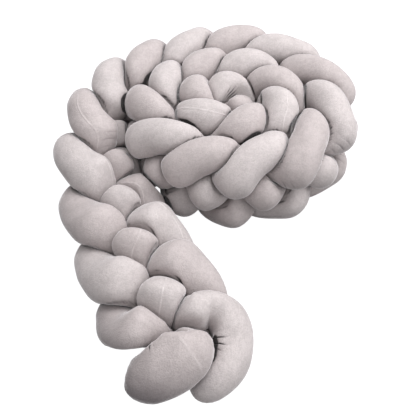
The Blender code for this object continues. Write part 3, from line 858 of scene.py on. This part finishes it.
# %% The pile's group
def pile_group():
    """The group: Colour mixes pile and brushed colour by noise, Height is in millimetres."""
    tree = bpy.data.node_groups.new("velvet_pile", "ShaderNodeTree")
    for label, kind, value in PILE_INPUTS:
        tree.interface.new_socket(label, in_out="INPUT", socket_type=kind).default_value = value
    for label, kind in PILE_OUTPUTS:
        tree.interface.new_socket(label, in_out="OUTPUT", socket_type=kind)
    source = add_node(tree, "NodeGroupInput").outputs
    place = add_node(tree, "ShaderNodeTexCoord").outputs["Object"]
    uv = add_node(tree, "ShaderNodeUVMap", uv_map="cloth").outputs[0]
    split = feed(tree, add_node(tree, "ShaderNodeSeparateXYZ"), {0: uv}).outputs
    # brushing: broad patches, short strokes along the pile, and grain
    patches = noise(tree, place, PATCH_SCALE, 2)
    strokes = noise(tree, place, STROKE_SCALE, 3, 0.6)
    grain = noise(tree, place, GRAIN_SCALE, 2, 0.8)
    mixed = calculated(tree, "MULTIPLY", patches, PATCH_SHARE)
    mixed = calculated(tree, "MULTIPLY_ADD", strokes, STROKE_SHARE, mixed)
    brushed = stepped(tree, calculated(tree, "MULTIPLY_ADD", grain, GRAIN_SHARE, mixed), *BRUSHED)
    share = calculated(tree, "MULTIPLY", brushed, source["Brushing"])
    colour = blended(tree, share, source["Pile Colour"], source["Brushed Colour"])
    # painted shade: darker on the loose end's undersides, which turn away from the light
    shaded = blended(tree, 1.0, colour, source["Painted Shade Tint"], "MULTIPLY")
    colour = blended(tree, point_value(tree, "painted_shade"), colour, shaded)
    # both seams: a pale line, paler pile with a painted highlight on the seam's ridge, worn here and there
    beside = stepped(tree, calculated(tree, "ABSOLUTE", split["X"]), *SEAM_LINE)
    line = calculated(tree, "SUBTRACT", 1.0, beside)
    line = calculated(tree, "MAXIMUM", line, point_value(tree, "cross_seam"))
    wear = stepped(tree, noise(tree, place, WEAR_SCALE, 3), *WEAR)
    pale = calculated(tree, "MULTIPLY", line, source["Seam Paleness"])
    colour = blended(tree, calculated(tree, "MULTIPLY", pale, wear), colour, source["Seam Colour"])
    # painted shade: the colour darkens at the bottom of a pleat or a crease, where shade falls
    pleated = stepped(tree, point_value(tree, "gather"), *PLEAT)
    shade = calculated(tree, "MAXIMUM", pleated, stepped(tree, point_value(tree, "crease"), *CREASED))
    colour = blended(tree, shade, colour, source["Pleat Shade"])
    # height in millimetres
    stitches = calculated(tree, "SINE", calculated(tree, "MULTIPLY", split["Y"], STITCHES))
    stitched = calculated(tree, "MULTIPLY_ADD", stitches, STITCH_HEIGHT, SEAM_HEIGHT)
    height = calculated(tree, "MULTIPLY", line, stitched)
    height = calculated(tree, "MULTIPLY_ADD", grain, GRAIN_HEIGHT, height)
    height = calculated(tree, "MULTIPLY_ADD", strokes, STROKE_HEIGHT, height)
    rough = calculated(tree, "MULTIPLY_ADD", brushed, BRUSHED_GLOSS, ROUGHNESS)
    feed(tree, add_node(tree, "NodeGroupOutput"), {"Colour": colour, "Roughness": rough, "Height": height})
    return tree


PILE = pile_group()
print("velvet_pile has", len(PILE.nodes), "nodes")

# %% [markdown]
# ## Two finishes
# The four tubes are of one velvet, and in two of them the pile lies the other way. The darker look of that
# lie under the light is painted shade, so there are two finishes of the same group, lit and shaded, that
# differ in colour alone.

# %% Two finishes
# the second finish is the first with painted shade, for the pile that lies the other way
FINISHES = {
    "velvet_light": {
        "pile": (0.535, 0.489, 0.488),
        "brushed": (0.40, 0.363, 0.362),
        # paler pile along the seam, with a painted highlight on its ridge
        "seam": (0.66, 0.61, 0.61),
    },
    "velvet_dark": {
        "pile": (0.485, 0.435, 0.434),
        "brushed": (0.368, 0.327, 0.326),
        # paler pile along the seam, with a painted highlight on its ridge
        "seam": (0.60, 0.55, 0.55),
    },
}
BRUSHING, SEAM_PALENESS = 0.8, 0.6
PLEAT_SHADE_TONE = 0.08  # painted shade at the bottom of a pleat or a crease, as a share of the brushed colour
BUMP_STRENGTH, MILLIMETRE = 0.8, 0.001
SHEEN_WEIGHT, SHEEN_ROUGHNESS, SHEEN_TINT = 0.34, 0.3, (1.0, 0.97, 0.99, 1)
RIM = (0.55, 0.98)  # how far the cloth turns away where the sheen starts to grow, and where it is full
RIM_WEIGHT = 0.9  # what the sheen gains there
SPECULAR = 0.15


def velvet(name):
    """A Principled shader with sheen, its colour, roughness and bump from the pile's group."""
    colours = FINISHES[name]
    material = bpy.data.materials.new(name)
    material.use_nodes = True
    tree = material.node_tree
    shader = tree.nodes["Principled BSDF"]
    pile = add_node(tree, "ShaderNodeGroup", node_tree=PILE)
    feed(tree, pile, {"Pile Colour": (*colours["pile"], 1), "Brushed Colour": (*colours["brushed"], 1)})
    feed(tree, pile, {"Seam Colour": (*colours["seam"], 1), "Seam Paleness": SEAM_PALENESS})
    feed(tree, pile, {"Pleat Shade": (*[PLEAT_SHADE_TONE * value for value in colours["brushed"]], 1)})
    feed(tree, pile, {"Brushing": BRUSHING})
    bump = add_node(tree, "ShaderNodeBump")
    feed(tree, bump, {"Height": pile.outputs["Height"], "Strength": BUMP_STRENGTH, "Distance": MILLIMETRE})
    facing = feed(tree, add_node(tree, "ShaderNodeLayerWeight"), {"Blend": 0.5}).outputs["Facing"]
    sheen = calculated(tree, "MULTIPLY_ADD", stepped(tree, facing, *RIM), RIM_WEIGHT, SHEEN_WEIGHT)
    feed(tree, shader, {"Base Color": pile.outputs["Colour"], "Roughness": pile.outputs["Roughness"]})
    feed(tree, shader, {"Normal": bump.outputs[0], "Sheen Weight": sheen})
    feed(tree, shader, {"Sheen Roughness": SHEEN_ROUGHNESS, "Sheen Tint": SHEEN_TINT})
    feed(tree, shader, {"Specular IOR Level": SPECULAR})
    return material


materials = {name: velvet(name) for name in FINISHES}
for node, _, _, finish in STRANDS:
    pieces[node].data.materials.append(materials[finish])
print("finishes:", sorted(materials))

# %% [markdown]
# ## The studio
# The photograph is evenly lit on white: a broad light above, a smaller one from the right, and a surround
# that is brighter above and to the right. A floor that is truly white would light the underside more than
# the photograph shows. So the floor and the surround are plain white only where the camera sees them: to
# the light the floor is mid-grey. The floor isn't part of the bumper.

# %% Floor
FLOOR_HALF, FLOOR_HEIGHT = 4.0, -0.0004
FLOOR_COLOUR = (0.16, 0.16, 0.165, 1)  # what the light meets


def add_floor():
    """A matt square that glows white to the camera alone."""
    mesh = bpy.data.meshes.new("studio_floor")
    signs = ((-1, -1), (1, -1), (1, 1), (-1, 1))
    corners = [(x * FLOOR_HALF, y * FLOOR_HALF, FLOOR_HEIGHT) for x, y in signs]
    mesh.from_pydata(corners, [], [(0, 1, 2, 3)])
    floor = bpy.data.objects.new("studio_floor", mesh)
    bpy.context.scene.collection.objects.link(floor)
    material = bpy.data.materials.new("studio_floor")
    material.use_nodes = True
    tree = material.node_tree
    shader = tree.nodes["Principled BSDF"]
    feed(tree, shader, {"Base Color": FLOOR_COLOUR, "Roughness": 0.9, "Specular IOR Level": 0.0})
    feed(tree, shader, {"Emission Color": (1, 1, 1, 1), "Emission Strength": seen_by_camera(tree)})
    mesh.materials.append(material)


add_floor()
print("floor:", 2 * FLOOR_HALF, "m wide")

# %% Lights and surround
LIGHTS = (  # name, place, size, watts
    ("above", (0.6, 0.5, 1.9), 1.6, 31.0),
    ("right", (2.0, 0.1, 1.1), 1.2, 11.0),
)
AIM = Vector((0, 0.05, 0.1))  # about the middle of the bumper
GLOW_UP, GLOW_RIGHT = 0.6, 0.4  # how much up and right count in a direction
GLOW_EDGES = (-0.3, 0.7)  # their sum where the surround starts to brighten, and where it is brightest
DIMMEST, GLOW = 0.45, 0.72  # its least strength, and what it gains


def add_light(name, place, size, watts):
    """A square soft light at a place, aimed at the bumper."""
    light = bpy.data.lights.new("light_" + name, "AREA")
    light.size = size
    light.energy = watts
    holder = bpy.data.objects.new("light_" + name, light)
    holder.location = place
    holder.rotation_mode = "QUATERNION"
    holder.rotation_quaternion = (AIM - Vector(place)).to_track_quat("-Z", "Y")
    bpy.context.scene.collection.objects.link(holder)


def add_surround():
    """White to the camera, and to the light dimmest + glow smoothstep(0.6 up + 0.4 right)."""
    world = bpy.data.worlds.new("white_surround")
    bpy.context.scene.world = world
    world.use_nodes = True
    tree = world.node_tree
    direction = add_node(tree, "ShaderNodeTexCoord").outputs["Generated"]
    parts = feed(tree, add_node(tree, "ShaderNodeSeparateXYZ"), {0: direction}).outputs
    right = calculated(tree, "MULTIPLY", parts["X"], GLOW_RIGHT)
    upper_right = calculated(tree, "MULTIPLY_ADD", parts["Z"], GLOW_UP, right)
    glow = stepped(tree, upper_right, *GLOW_EDGES)
    strength = calculated(tree, "MULTIPLY_ADD", glow, GLOW, DIMMEST)
    strength = calculated(tree, "MAXIMUM", strength, seen_by_camera(tree))
    feed(tree, tree.nodes["Background"], {"Color": (1, 1, 1, 1), "Strength": strength})


for light_row in LIGHTS:
    add_light(*light_row)
add_surround()
bpy.context.scene.view_settings.view_transform = "Standard"
print("lights:", [row[0] for row in LIGHTS])

# %% [markdown]
# ## The camera
# The photograph looks down on the bumper from in front, at about 53 degrees, from close by, so the loose end
# looks larger than the coil. These three numbers were fitted to the outline in the photograph.

# %% Camera
TARGET = Vector((-MIDDLE[0], -MIDDLE[1], 0.0))
ELEVATION, DISTANCE, LENS = np.radians(53.0), 1.08, 43.27
camera_data = bpy.data.cameras.new("camera")
camera_data.lens = LENS
camera_data.sensor_width = 36.0
camera_data.clip_start = 0.05
camera = bpy.data.objects.new("camera", camera_data)
back = Vector((0.0, -np.cos(ELEVATION), np.sin(ELEVATION)))
camera.location = TARGET + back * DISTANCE
camera.rotation_mode = "QUATERNION"
camera.rotation_quaternion = (-back).to_track_quat("-Z", "Y")
bpy.context.scene.collection.objects.link(camera)
bpy.context.scene.camera = camera
print("camera at", tuple(round(v, 3) for v in camera.location))
